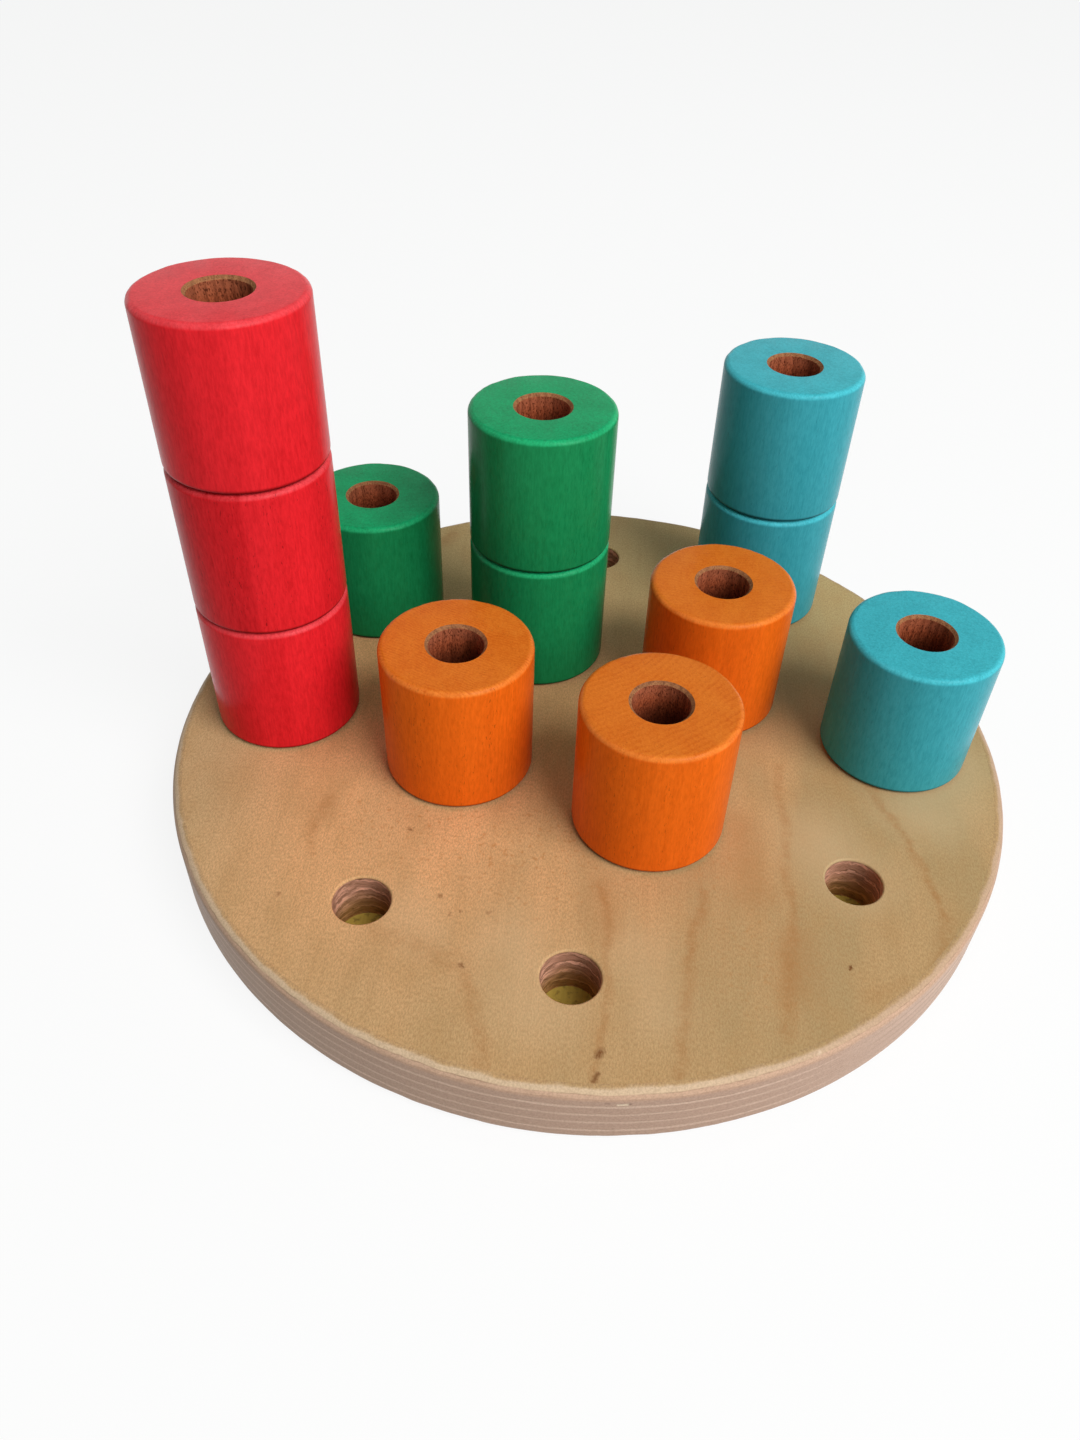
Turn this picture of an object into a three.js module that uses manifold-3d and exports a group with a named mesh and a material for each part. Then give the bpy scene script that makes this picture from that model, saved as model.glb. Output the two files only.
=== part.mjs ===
// A stacking pegboard: a round plywood board with a square grid of blind holes, and turned wooden pegs
// that plug into the board and into each other. A peg is a painted block with a dowel glued in below
// and an open socket on top, and the socket takes the next peg's dowel.
// Millimetres, +Z up, with the origin at the middle of the board's underside.

import * as THREE from 'three';
import { mergeVertices } from 'three/addons/utils/BufferGeometryUtils.js';
import Module from 'manifold-3d';

// Peg blocks
const PEG_DIAMETER = 50;
const PEG_HEIGHT = 50;
const PEG_RIM_RADIUS = 2; // round the top
const PEG_FOOT_RADIUS = 1; // round the foot, which is only eased
const SOCKET_CHAMFER = 1;
const PEG_WEB = 12; // solid wood between the socket's floor and the glued end of the dowel

// Dowels
const DOWEL_DIAMETER = 16;
const DOWEL_REACH = 16; // the length that stands out below the block
const DOWEL_CHAMFER = 1.5; // on the free end, so that it finds the hole

// Fits
const DOWEL_PLAY = 1; // on the radius, in a hole or a socket
const END_SPACE = 2; // below the dowel's free end, so that the block rests on its own foot
const GLUE_GAP = 0.1; // round the glued end of the dowel
const SEAT_GAP = 0.1; // below a block that stands on the board or on another block

// Board
const HOLES_PER_SIDE = 4; // of the square grid, whose four corner holes fall off the round board
const FINGER_GAP = 18.5; // between neighbouring pegs
const RIM_MARGIN = 11.7; // from the outermost pegs to the board's rim
const BOARD_FLOOR = 6; // wood left below the holes
const BOARD_EDGE_RADIUS = 3.5;

// Facets of the round forms
const PEG_SIDES = 32;
const PEG_EDGE_STEPS = 2;
const BOARD_SIDES = 96;
const BOARD_EDGE_STEPS = 3;

// Where the pegs stand: columns count from the left and rows from the front, both from 0
const STACKS = [
  { paint: 'red', column: 0, row: 1, pegs: 3 },
  { paint: 'green', column: 0, row: 2, pegs: 1 },
  { paint: 'green', column: 1, row: 2, pegs: 2 },
  { paint: 'orange', column: 1, row: 1, pegs: 1 },
  { paint: 'orange', column: 2, row: 1, pegs: 1 },
  { paint: 'orange', column: 2, row: 2, pegs: 1 },
  { paint: 'turquoise', column: 2, row: 3, pegs: 2 },
  { paint: 'turquoise', column: 3, row: 2, pegs: 1 },
];

const PAINTS = {
  red: '#e03a44',
  green: '#2a8f57',
  orange: '#e0762a',
  turquoise: '#48a8b4',
};
const PLYWOOD = '#c8a274';
const BARE_BEECH = '#b98560';
const PAINT_ROUGHNESS = 0.45;
const WOOD_ROUGHNESS = 0.65;

// Sizes that follow
const PEG_RADIUS = PEG_DIAMETER / 2;
const DOWEL_RADIUS = DOWEL_DIAMETER / 2;
const HOLE_RADIUS = DOWEL_RADIUS + DOWEL_PLAY;
const HOLE_DEPTH = DOWEL_REACH + END_SPACE;
const DOWEL_SEAT = PEG_HEIGHT - HOLE_DEPTH - PEG_WEB;
const STACK_PITCH = PEG_HEIGHT + SEAT_GAP;
const HOLE_PITCH = PEG_DIAMETER + FINGER_GAP;
const GRID_MIDDLE = (HOLES_PER_SIDE - 1) / 2;
const OUTERMOST_HOLE = HOLE_PITCH * Math.hypot(GRID_MIDDLE, GRID_MIDDLE - 1);
const BOARD_RADIUS = OUTERMOST_HOLE + PEG_RADIUS + RIM_MARGIN;
const BOARD_THICKNESS = HOLE_DEPTH + BOARD_FLOOR;

const wasm = await Module();
wasm.setup();

function material(colour, roughness) {
  return new THREE.MeshStandardMaterial({ color: colour, roughness, metalness: 0 });
}

function namedMesh(name, geometry, finish) {
  const mesh = new THREE.Mesh(geometry, finish);
  mesh.name = name;
  return mesh;
}

// A quarter circle in the profile plane, from the given angle on by a right angle
function quarterRound(centreX, centreY, radius, startAngle, steps) {
  const points = [];
  for (let step = 0; step <= steps; step += 1) {
    const angle = startAngle + (Math.PI / 2) * (step / steps);
    points.push([centreX + radius * Math.cos(angle), centreY + radius * Math.sin(angle)]);
  }
  return points;
}

// The outside of a disc from its foot to its top, with both edges rounded
function roundedSide(radius, height, footRadius, rimRadius, steps) {
  return [
    ...quarterRound(radius - footRadius, footRadius, footRadius, -Math.PI / 2, steps),
    ...quarterRound(radius - rimRadius, height - rimRadius, rimRadius, 0, steps),
  ];
}

// A profile of [radius, height] points, turned about +Z
function turned(profile, sides) {
  const points = profile.map(([radius, height]) => new THREE.Vector2(radius, height));
  return new THREE.LatheGeometry(points, sides).rotateX(Math.PI / 2);
}

// A closed geometry as a solid that can be cut. Triangles that a lathe folds flat on its axis are dropped.
function toSolid(geometry) {
  const bare = geometry.clone();
  bare.deleteAttribute('normal');
  bare.deleteAttribute('uv');
  const merged = mergeVertices(bare);
  const corners = merged.index.array;
  const triangles = [];
  for (let at = 0; at < corners.length; at += 3) {
    const [a, b, c] = corners.slice(at, at + 3);
    if (a !== b && b !== c && c !== a) {
      triangles.push(a, b, c);
    }
  }
  return new wasm.Manifold(new wasm.Mesh({
    numProp: 3,
    vertProperties: new Float32Array(merged.attributes.position.array),
    triVerts: new Uint32Array(triangles),
  }));
}

function toGeometry(solid) {
  const mesh = solid.getMesh();
  const geometry = new THREE.BufferGeometry();
  geometry.setAttribute('position', new THREE.BufferAttribute(mesh.vertProperties, 3));
  geometry.setIndex(new THREE.BufferAttribute(mesh.triVerts, 1));
  geometry.computeVertexNormals();
  return geometry;
}

function gridPlace(index) {
  return (index - GRID_MIDDLE) * HOLE_PITCH;
}

function isCorner(column, row) {
  const last = HOLES_PER_SIDE - 1;
  return (column === 0 || column === last) && (row === 0 || row === last);
}

// The board is a disc with rounded edges, bored from above
function boardGeometry() {
  const edge = BOARD_EDGE_RADIUS;
  const side = roundedSide(BOARD_RADIUS, BOARD_THICKNESS, edge, edge, BOARD_EDGE_STEPS);
  const disc = turned([[0, 0], ...side, [0, BOARD_THICKNESS]], BOARD_SIDES);
  const clear = BOARD_THICKNESS + BOARD_FLOOR;
  const boreProfile = [[0, BOARD_FLOOR], [HOLE_RADIUS, BOARD_FLOOR], [HOLE_RADIUS, clear], [0, clear]];
  const bore = turned(boreProfile, PEG_SIDES);
  let board = toSolid(disc);
  for (let column = 0; column < HOLES_PER_SIDE; column += 1) {
    for (let row = 0; row < HOLES_PER_SIDE; row += 1) {
      if (!isCorner(column, row)) {
        const placed = bore.clone().translate(gridPlace(column), gridPlace(row), 0);
        board = board.subtract(toSolid(placed));
      }
    }
  }
  return toGeometry(board);
}

// A block is turned in one profile: the dowel's seat, the rounded side, and the chamfered socket
function blockGeometry() {
  const seatRadius = DOWEL_RADIUS + GLUE_GAP;
  const seatTop = DOWEL_SEAT + GLUE_GAP;
  const socketFloor = PEG_HEIGHT - HOLE_DEPTH;
  return turned([
    [0, seatTop],
    [seatRadius, seatTop],
    [seatRadius, 0],
    ...roundedSide(PEG_RADIUS, PEG_HEIGHT, PEG_FOOT_RADIUS, PEG_RIM_RADIUS, PEG_EDGE_STEPS),
    [HOLE_RADIUS + SOCKET_CHAMFER, PEG_HEIGHT],
    [HOLE_RADIUS, PEG_HEIGHT - SOCKET_CHAMFER],
    [HOLE_RADIUS, socketFloor],
    [0, socketFloor],
  ], PEG_SIDES);
}

function dowelGeometry() {
  return turned([
    [0, -DOWEL_REACH],
    [DOWEL_RADIUS - DOWEL_CHAMFER, -DOWEL_REACH],
    [DOWEL_RADIUS, DOWEL_CHAMFER - DOWEL_REACH],
    [DOWEL_RADIUS, DOWEL_SEAT],
    [0, DOWEL_SEAT],
  ], PEG_SIDES);
}

// A peg stands on its foot at its group's origin
function makePeg(name, paint) {
  const peg = new THREE.Group();
  peg.add(namedMesh(`${name}_block`, blockGeometry(), material(PAINTS[paint], PAINT_ROUGHNESS)));
  peg.add(namedMesh(`${name}_dowel`, dowelGeometry(), material(BARE_BEECH, WOOD_ROUGHNESS)));
  return peg;
}

const pegboard = new THREE.Group();
pegboard.name = 'stacking_pegboard';
pegboard.add(namedMesh('board', boardGeometry(), material(PLYWOOD, WOOD_ROUGHNESS)));

// Pegs of one paint are numbered in the order of the stacks, each stack from the board up
const pegsMade = {};
for (const { paint, column, row, pegs } of STACKS) {
  for (let level = 0; level < pegs; level += 1) {
    pegsMade[paint] = (pegsMade[paint] ?? 0) + 1;
    const peg = makePeg(`${paint}_peg_${pegsMade[paint]}`, paint);
    const foot = BOARD_THICKNESS + SEAT_GAP + level * STACK_PITCH;
    peg.position.set(gridPlace(column), gridPlace(row), foot);
    pegboard.add(peg);
  }
}

export default pegboard;
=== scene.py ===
# %% [markdown]
# # A stacking pegboard
# A round plywood board has twelve blind holes in it, and twelve turned wooden pegs plug into the holes and
# into each other. Each peg is a painted block with a bare socket in its top and a bare dowel glued into
# its foot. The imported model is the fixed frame: it says where each piece stands and how large it is. This
# lesson makes the finished surface of every piece around it, and then lights it and photographs it.

# %% Load the frame
import math

import bpy
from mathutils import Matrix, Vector


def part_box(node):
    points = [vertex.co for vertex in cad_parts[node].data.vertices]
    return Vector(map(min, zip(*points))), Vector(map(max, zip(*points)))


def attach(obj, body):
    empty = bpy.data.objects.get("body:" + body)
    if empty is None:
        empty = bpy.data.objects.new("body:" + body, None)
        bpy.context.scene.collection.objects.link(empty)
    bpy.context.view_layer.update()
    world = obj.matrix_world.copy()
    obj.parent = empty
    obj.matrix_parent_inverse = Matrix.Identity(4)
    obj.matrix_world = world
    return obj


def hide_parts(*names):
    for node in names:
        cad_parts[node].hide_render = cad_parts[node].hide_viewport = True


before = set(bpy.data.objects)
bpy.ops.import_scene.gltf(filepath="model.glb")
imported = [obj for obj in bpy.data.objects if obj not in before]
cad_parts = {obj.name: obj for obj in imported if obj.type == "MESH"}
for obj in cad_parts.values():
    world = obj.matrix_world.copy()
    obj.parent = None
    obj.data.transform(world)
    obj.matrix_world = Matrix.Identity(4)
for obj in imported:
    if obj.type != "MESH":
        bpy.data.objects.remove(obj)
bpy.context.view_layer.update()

MM = 0.001

# %% [markdown]
# ## Sizes
# Blender works in metres here. Whatever the frame can tell is measured from it, so that the finished
# pieces fit the solids without any fitting by eye. Only the roundings and the fits can't be read from a
# box, so they are written down as the maker would set them on the lathe and the drill.

# %% Measure the pieces
board_low, board_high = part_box("board")
BOARD_RADIUS = (board_high.x - board_low.x) / 2
BOARD_THICKNESS = board_high.z - board_low.z

block_low, block_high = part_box("orange_peg_1_block")
PEG_RADIUS = (block_high.x - block_low.x) / 2
PEG_HEIGHT = block_high.z - block_low.z

dowel_low, dowel_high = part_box("orange_peg_1_dowel")
DOWEL_RADIUS = (dowel_high.x - dowel_low.x) / 2
DOWEL_REACH = block_low.z - dowel_low.z
DOWEL_SEAT = dowel_high.z - block_low.z

neighbour_low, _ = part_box("orange_peg_2_block")
HOLE_PITCH = neighbour_low.x - block_low.x
print(f"Board {2 * BOARD_RADIUS:.4f} m wide, pegs {2 * PEG_RADIUS:.4f} m, holes every {HOLE_PITCH:.4f} m")

# %% Roundings and fits
PEG_RIM_RADIUS = 2 * MM
PEG_FOOT_RADIUS = 2 * MM
SOCKET_CHAMFER = 1 * MM
DOWEL_CHAMFER = 1.5 * MM
BOARD_EDGE_RADIUS = 3.5 * MM
HOLE_EASE = 0.7 * MM
DOWEL_PLAY = 1 * MM
END_SPACE = 2 * MM
GLUE_GAP = 0.1 * MM
HOLE_RADIUS = DOWEL_RADIUS + DOWEL_PLAY
HOLE_DEPTH = DOWEL_REACH + END_SPACE
HOLES_PER_SIDE = 4
print(f"Holes {2 * HOLE_RADIUS:.4f} m wide and {HOLE_DEPTH:.4f} m deep")

# %% [markdown]
# ## Helpers for node trees
# Shapes and finishes are both made by node trees here. A tree could be drawn by hand in the editor, but a
# script that builds it can be read, run again and changed in one place. The tree that is being built lies
# on the bench, much as one object is active in Blender, so no helper needs to be told which tree it works
# on. One helper adds a node and feeds its inputs, either from another node's socket or with a plain value.
# Another gives back the node's first output, which is mostly the one that is wanted. Short ones write
# sums.

# %% Add a node
BENCH = {"tree": None}


def on_bench(tree):
    BENCH["tree"] = tree
    return tree


def feed(socket, value):
    if isinstance(value, bpy.types.NodeSocket):
        socket.id_data.links.new(value, socket)
    else:
        socket.default_value = value


def add(kind, inputs=None, **settings):
    node = BENCH["tree"].nodes.new(kind)
    for name, value in settings.items():
        setattr(node, name, value)
    for name, value in (inputs or {}).items():
        feed(node.inputs[name], value)
    return node


def made(kind, inputs=None, **settings):
    return add(kind, inputs, **settings).outputs[0]


# %% Sums of numbers
def calc(operation, *values):
    return made("ShaderNodeMath", dict(enumerate(values)), operation=operation)


def plus(first, *others):
    for other in others:
        first = calc("ADD", first, other)
    return first


def minus(first, second):
    return calc("SUBTRACT", first, second)


def times(first, *others):
    for other in others:
        first = calc("MULTIPLY", first, other)
    return first


def apart(first, second):
    return calc("ABSOLUTE", minus(first, second))


# %% Sums of vectors
def vector_calc(operation, *values):
    return made("ShaderNodeVectorMath", dict(enumerate(values)), operation=operation)


def measured(operation, *values):
    return add("ShaderNodeVectorMath", dict(enumerate(values)), operation=operation).outputs["Value"]


def scaled(vector, factor):
    return made("ShaderNodeVectorMath", {0: vector, "Scale": factor}, operation="SCALE")


def xyz(**parts):
    return made("ShaderNodeCombineXYZ", parts)


def split(vector):
    return add("ShaderNodeSeparateXYZ", {0: vector}).outputs


# %% Start and end a tree
SOCKET_KINDS = {
    "size": "NodeSocketFloat",
    "count": "NodeSocketInt",
    "place": "NodeSocketVector",
    "finish": "NodeSocketMaterial",
    "shape": "NodeSocketGeometry",
}


def add_sockets(in_out, sockets):
    for kind, labels in sockets.items():
        for label in labels:
            BENCH["tree"].interface.new_socket(label, in_out=in_out, socket_type=SOCKET_KINDS[kind])


def new_group(name, kind, inputs, outputs):
    on_bench(bpy.data.node_groups.new(name, kind))
    add_sockets("OUTPUT", outputs)
    add_sockets("INPUT", inputs)
    return add("NodeGroupInput").outputs


def new_shape_tree(name, inputs):
    return new_group(name, "GeometryNodeTree", inputs, {"shape": ["Shape"]})


def end_group(**results):
    add("NodeGroupOutput", results)
    return BENCH["tree"]


# %% [markdown]
# ## The lathe
# The pegs and the dowels are turned on a lathe, and the drill makes round holes, so nearly every surface
# here is a profile swept once round an axis. The Spin tool or a Screw modifier could do it. Here a node
# group does it, because the three trees that follow all need it: the profile rides round a circle of one
# metre, moved one metre inwards, so that its X is the distance from the axis. The sweep leaves the faces
# pointing to the axis, so they are flipped, and a profile that runs up then faces outwards. Points that
# meet are welded.

# %% Build the lathe
WELD_DISTANCE = 0.004 * MM
RING_RADIUS = 1.0


def circle(radius, sides):
    return made("GeometryNodeCurvePrimitiveCircle", {"Radius": radius, "Resolution": sides})


def flipped(shape):
    return made("GeometryNodeFlipFaces", {"Mesh": shape})


def welded(shape):
    return made("GeometryNodeMergeByDistance", {"Geometry": shape, "Distance": WELD_DISTANCE})


def moved(shape, place, scale=(1, 1, 1)):
    return made("GeometryNodeTransform", {"Geometry": shape, "Translation": place, "Scale": scale})


def lathe_tree():
    given = new_shape_tree("lathe", {"shape": ["Profile"], "count": ["Sides"]})
    hung = moved(given["Profile"], (-RING_RADIUS, 0, 0), (1, -1, 1))
    ring = circle(RING_RADIUS, given["Sides"])
    swept = made("GeometryNodeCurveToMesh", {"Curve": ring, "Profile Curve": hung})
    return end_group(Shape=welded(flipped(swept)))


LATHE = lathe_tree()


def turned(profile, sides):
    return made("GeometryNodeGroup", {"Profile": profile, "Sides": sides}, node_tree=LATHE)


print(f"The lathe has {len(LATHE.nodes)} nodes")

# %% [markdown]
# ## Profiles
# A profile is a short list of corners, each with its distance from the axis, its height and its rounding.
# The corners are sent to the points of a line by their index, and Fillet Curve then rounds each one by its
# own radius. So the rounding is one number, as on the lathe tool, and not a row of points. Turned faces
# shade smoothly into each other, and only an edge that bends by more than a set angle stays crisp.

# %% Draw a profile from its corners
FILLET_STEPS = 12
CRISP_ANGLE = math.radians(32)


def profile_curve(corners):
    index = made("GeometryNodeInputIndex")
    places = add("GeometryNodeIndexSwitch", {"Index": index}, data_type="VECTOR")
    roundings = add("GeometryNodeIndexSwitch", {"Index": index}, data_type="FLOAT")
    for switch in (places, roundings):
        while len(switch.index_switch_items) < len(corners):
            switch.index_switch_items.new()
    for number, (radius, height, rounding) in enumerate(corners, start=1):
        feed(places.inputs[number], xyz(X=radius, Y=height))
        feed(roundings.inputs[number], rounding)
    line = made("GeometryNodeMeshLine", {"Count": len(corners)})
    bent = made("GeometryNodeSetPosition", {"Geometry": line, "Position": places.outputs[0]})
    return made("GeometryNodeFilletCurve", {
        "Curve": made("GeometryNodeMeshToCurve", {"Mesh": bent}),
        "Radius": roundings.outputs[0],
        "Limit Radius": True,
        "Count": FILLET_STEPS,
    }, mode="POLY")


def shaded(shape):
    smooth = made("GeometryNodeSetShadeSmooth", {"Geometry": shape, "Shade Smooth": True})
    angle = add("GeometryNodeInputMeshEdgeAngle").outputs["Unsigned Angle"]
    return made("GeometryNodeSetShadeSmooth", {
        "Geometry": smooth,
        "Selection": made("FunctionNodeCompare", {"A": angle, "B": CRISP_ANGLE}, operation="GREATER_THAN"),
        "Shade Smooth": False,
    }, domain="EDGE")


# %% [markdown]
# ## Patterns that shapes and finishes share
# Geometry Nodes and shaders have the same noise and the same Map Range node. So one pair of helpers serves
# both: the first gives a soft random number for each place, and the second turns the stretch of a value
# between two limits into 0 to 1, or into another range, with a soft start and end.

# %% Noise and soft steps
def noise(vector, detail=2.0, roughness=0.5):
    return made("ShaderNodeTexNoise",
                {"Vector": vector, "Scale": 1.0, "Detail": detail, "Roughness": roughness})


def between(value, low, high, from_value=0.0, to_value=1.0):
    return made("ShaderNodeMapRange", {
        "Value": value,
        "From Min": low,
        "From Max": high,
        "To Min": from_value,
        "To Max": to_value,
    }, interpolation_type="SMOOTHSTEP")


# %% [markdown]
# ## Hand-sanded edges
# The edges were rounded by machine and then sanded by hand, so a rounded edge is a little flatter here and
# a little fuller there, and its highlight breaks up. The tree moves the points of a rounding inwards by a
# slow noise. Nothing moves outwards, so a piece never grows past the solid that it dresses.

# %% Sand a rounding
SANDING_DETAIL = 3.0
SANDED_RANGE = (0.38, 0.72)


def position():
    return made("GeometryNodeInputPosition")


def distance_from_axis(place):
    return measured("LENGTH", vector_calc("MULTIPLY", place, (1, 1, 0)))


def height_of(place):
    return split(place)["Z"]


def near_edge(value, limit, rounding):
    start = minus(limit, rounding)
    full = minus(limit, times(rounding, 0.5))
    return between(value, start, full)


def sanded(shape, where, depth, wave_length, shift):
    place = vector_calc("ADD", scaled(position(), 1 / wave_length), shift)
    worn = between(noise(place, SANDING_DETAIL), *SANDED_RANGE)
    inwards = scaled(made("GeometryNodeInputNormal"), times(worn, where, -depth))
    return made("GeometryNodeSetPosition", {"Geometry": shape, "Offset": inwards})


# %% [markdown]
# ## The grain of each blank
# Every peg was sawn from its own plank, so the growth rings cross each one differently. The trees store a
# vector called grain on each piece: the place in millimetres measured from the heart of the tree it came
# from. A second vector called blank says what that wood is like: how far out the dark heartwood reaches,
# how wide the rings are, and how strongly they show. The finishes read both, so rings, fibres and flecks
# run through the block as they do in wood, from the top face over the rim and down the side. A third
# vector called from_foot is the place on the piece itself, so that a finish knows its top from its foot.

# %% Store the grain
GRAIN_SIZES = [
    "Grain Turn", "Grain Lean", "Heart Distance", "Along The Plank",
    "Heartwood", "Ring Width", "Grain Show",
]


def stored(shape, name, vector):
    return made("GeometryNodeStoreNamedAttribute",
                {"Geometry": shape, "Name": name, "Value": vector}, data_type="FLOAT_VECTOR")


def with_grain(shape, given):
    millimetres = scaled(position(), 1 / MM)
    turn = xyz(X=given["Grain Lean"], Z=given["Grain Turn"])
    rotated = made("ShaderNodeVectorRotate",
                   {"Vector": millimetres, "Rotation": turn}, rotation_type="EULER_XYZ")
    heart = xyz(X=given["Heart Distance"], Z=given["Along The Plank"])
    grain = vector_calc("ADD", rotated, heart)
    blank = xyz(X=given["Heartwood"], Y=given["Ring Width"], Z=given["Grain Show"])
    shape = stored(stored(shape, "grain", grain), "blank", blank)
    return stored(shape, "from_foot", millimetres)


# %% [markdown]
# ## Ending a tree
# Each tree moves its piece to its place, makes any copies real and gives the finishes last, because an
# export only takes real faces with a finish on them. A finish goes to the faces that a field picks out.

# %% Place a shape and finish its faces
def realized(shape):
    return made("GeometryNodeRealizeInstances", {"Geometry": shape})


def finished(shape, finish, where=True):
    return made("GeometryNodeSetMaterial", {"Geometry": shape, "Selection": where, "Material": finish})


def is_less(first, second):
    return made("FunctionNodeCompare", {"A": first, "B": second}, operation="LESS_THAN")


def both(first, second):
    return made("FunctionNodeBooleanMath", {0: first, 1: second}, operation="AND")


# %% [markdown]
# ## The block
# A block is turned in one profile: the dowel's seat in the foot, the eased foot, the side, the rounded
# rim, and the socket with its chamfer. Paint covers the outside, and the socket is bored afterwards, so
# whatever lies nearer to the axis than the chamfer's outer edge is bare wood, and the chamfer itself is
# worn to a paler tan.

# %% Turn and sand the block
BLOCK_INPUTS = {
    "size": [
        "Radius", "Height", "Foot Rounding", "Rim Rounding",
        "Socket Radius", "Socket Depth", "Socket Chamfer", "Seat Radius", "Seat Depth",
        *GRAIN_SIZES,
    ],
    "count": ["Sides"],
    "place": ["Place"],
    "finish": ["Paint", "Bare Wood", "Worn Chamfer"],
}
CHAMFER_EASE = 0.15 * MM
WALL_MARGIN = 0.2 * CHAMFER_EASE
RIM_WEAR = 0.16 * MM
RIM_WAVE = 7 * MM


def block_profile(given, mouth):
    shoulder = minus(given["Height"], given["Socket Chamfer"])
    socket_floor = minus(given["Height"], given["Socket Depth"])
    return profile_curve([
        (0.0, given["Seat Depth"], 0.0),
        (given["Seat Radius"], given["Seat Depth"], 0.0),
        (given["Seat Radius"], 0.0, CHAMFER_EASE),
        (given["Radius"], 0.0, given["Foot Rounding"]),
        (given["Radius"], given["Height"], given["Rim Rounding"]),
        (mouth, given["Height"], CHAMFER_EASE),
        (given["Socket Radius"], shoulder, CHAMFER_EASE),
        (given["Socket Radius"], socket_floor, 0.0),
        (0.0, socket_floor, 0.0),
    ])


def sanded_rim(shape, given):
    out = near_edge(distance_from_axis(position()), given["Radius"], given["Rim Rounding"])
    up = near_edge(height_of(position()), given["Height"], given["Rim Rounding"])
    shift = xyz(X=given["Along The Plank"])
    return sanded(shape, times(out, up), RIM_WEAR, RIM_WAVE, shift)


# %% Build the block's tree
def block_tree():
    given = new_shape_tree("turned_block", BLOCK_INPUTS)
    mouth = plus(given["Socket Radius"], given["Socket Chamfer"])
    shape = turned(block_profile(given, mouth), given["Sides"])
    shape = with_grain(shaded(sanded_rim(shape, given)), given)
    shape = realized(moved(shape, given["Place"]))
    from_foot = vector_calc("SUBTRACT", position(), given["Place"])
    from_axis = distance_from_axis(from_foot)
    wall = plus(given["Socket Radius"], WALL_MARGIN)
    cut = is_less(from_axis, mouth)
    upper = is_less(given["Seat Depth"], height_of(from_foot))
    sloped = both(both(cut, upper), is_less(wall, from_axis))
    shape = finished(shape, given["Paint"])
    shape = finished(shape, given["Bare Wood"], cut)
    return end_group(Shape=finished(shape, given["Worn Chamfer"], sloped))


BLOCK = block_tree()
print(f"The block's tree has {len(BLOCK.nodes)} nodes")

# %% [markdown]
# ## The dowel
# The dowel is a plain beech rod, glued into the block's foot, with a chamfer on its free end so that it
# finds the hole. It is turned by the same lathe from a shorter profile.

# %% Build the dowel's tree
DOWEL_INPUTS = {
    "size": ["Radius", "Reach", "Seat Depth", "Chamfer", *GRAIN_SIZES],
    "count": ["Sides"],
    "place": ["Place"],
    "finish": ["Bare Wood"],
}


def dowel_tree():
    given = new_shape_tree("turned_dowel", DOWEL_INPUTS)
    tip = times(given["Reach"], -1.0)
    tip_radius = minus(given["Radius"], given["Chamfer"])
    chamfer_top = plus(tip, given["Chamfer"])
    outline = profile_curve([
        (0.0, tip, 0.0),
        (tip_radius, tip, CHAMFER_EASE),
        (given["Radius"], chamfer_top, CHAMFER_EASE),
        (given["Radius"], given["Seat Depth"], CHAMFER_EASE),
        (0.0, given["Seat Depth"], 0.0),
    ])
    shape = with_grain(shaded(turned(outline, given["Sides"])), given)
    shape = realized(moved(shape, given["Place"]))
    return end_group(Shape=finished(shape, given["Bare Wood"]))


DOWEL = dowel_tree()
print(f"The dowel's tree has {len(DOWEL.nodes)} nodes")

# %% [markdown]
# ## The board
# The board is a disc of plywood with rounded edges and a square grid of blind holes. Boolean cuts would
# leave ragged faces round each hole, so the board is put together from clean parts instead: a turned rim,
# two flat faces filled between circles, and one turned hole liner that is copied to every point of the
# grid. Grid points that fall off the face are deleted, which leaves out the four corners by the same rule
# that the maker used.

# %% Parts of the board
BOARD_INPUTS = {
    "size": [
        "Radius", "Thickness", "Edge Rounding", "Hole Radius", "Hole Depth", "Hole Ease", "Hole Pitch",
        "Keep Within",
    ],
    "count": ["Holes Per Side", "Sides", "Hole Sides"],
    "finish": ["Veneer", "Ply Edge", "Bored Plies", "Bored Floor"],
}
FLAT_MARGIN = 0.15 * MM
EDGE_WEAR = 0.18 * MM
EDGE_WAVE = 9 * MM


def joined(*shapes):
    node = add("GeometryNodeJoinGeometry")
    for shape in reversed(shapes):
        feed(node.inputs[0], shape)
    return node.outputs[0]


def filled(outlines, height):
    face = made("GeometryNodeFillCurve", {"Curve": outlines}, mode="TRIANGLES")
    return moved(face, xyz(Z=height))


def hole_points(given):
    per_side = given["Holes Per Side"]
    width = times(minus(per_side, 1.0), given["Hole Pitch"])
    grid = made("GeometryNodeMeshGrid",
                {"Size X": width, "Size Y": width, "Vertices X": per_side, "Vertices Y": per_side})
    off_the_face = is_less(given["Keep Within"], distance_from_axis(position()))
    return made("GeometryNodeDeleteGeometry",
                {"Geometry": grid, "Selection": off_the_face}, domain="POINT")


def on_every_hole(points, shape):
    return realized(made("GeometryNodeInstanceOnPoints", {"Points": points, "Instance": shape}))


# %% Turn the board's rim
def board_rim(given, face_radius):
    outline = profile_curve([
        (face_radius, 0.0, 0.0),
        (given["Radius"], 0.0, given["Edge Rounding"]),
        (given["Radius"], given["Thickness"], given["Edge Rounding"]),
        (face_radius, given["Thickness"], 0.0),
    ])
    rim = turned(outline, given["Sides"])
    middle = times(given["Thickness"], 0.5)
    from_middle = apart(height_of(position()), middle)
    out = near_edge(distance_from_axis(position()), given["Radius"], given["Edge Rounding"])
    up = near_edge(from_middle, middle, given["Edge Rounding"])
    return sanded(rim, times(out, up), EDGE_WEAR, EDGE_WAVE, (0, 0, 0))


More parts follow.
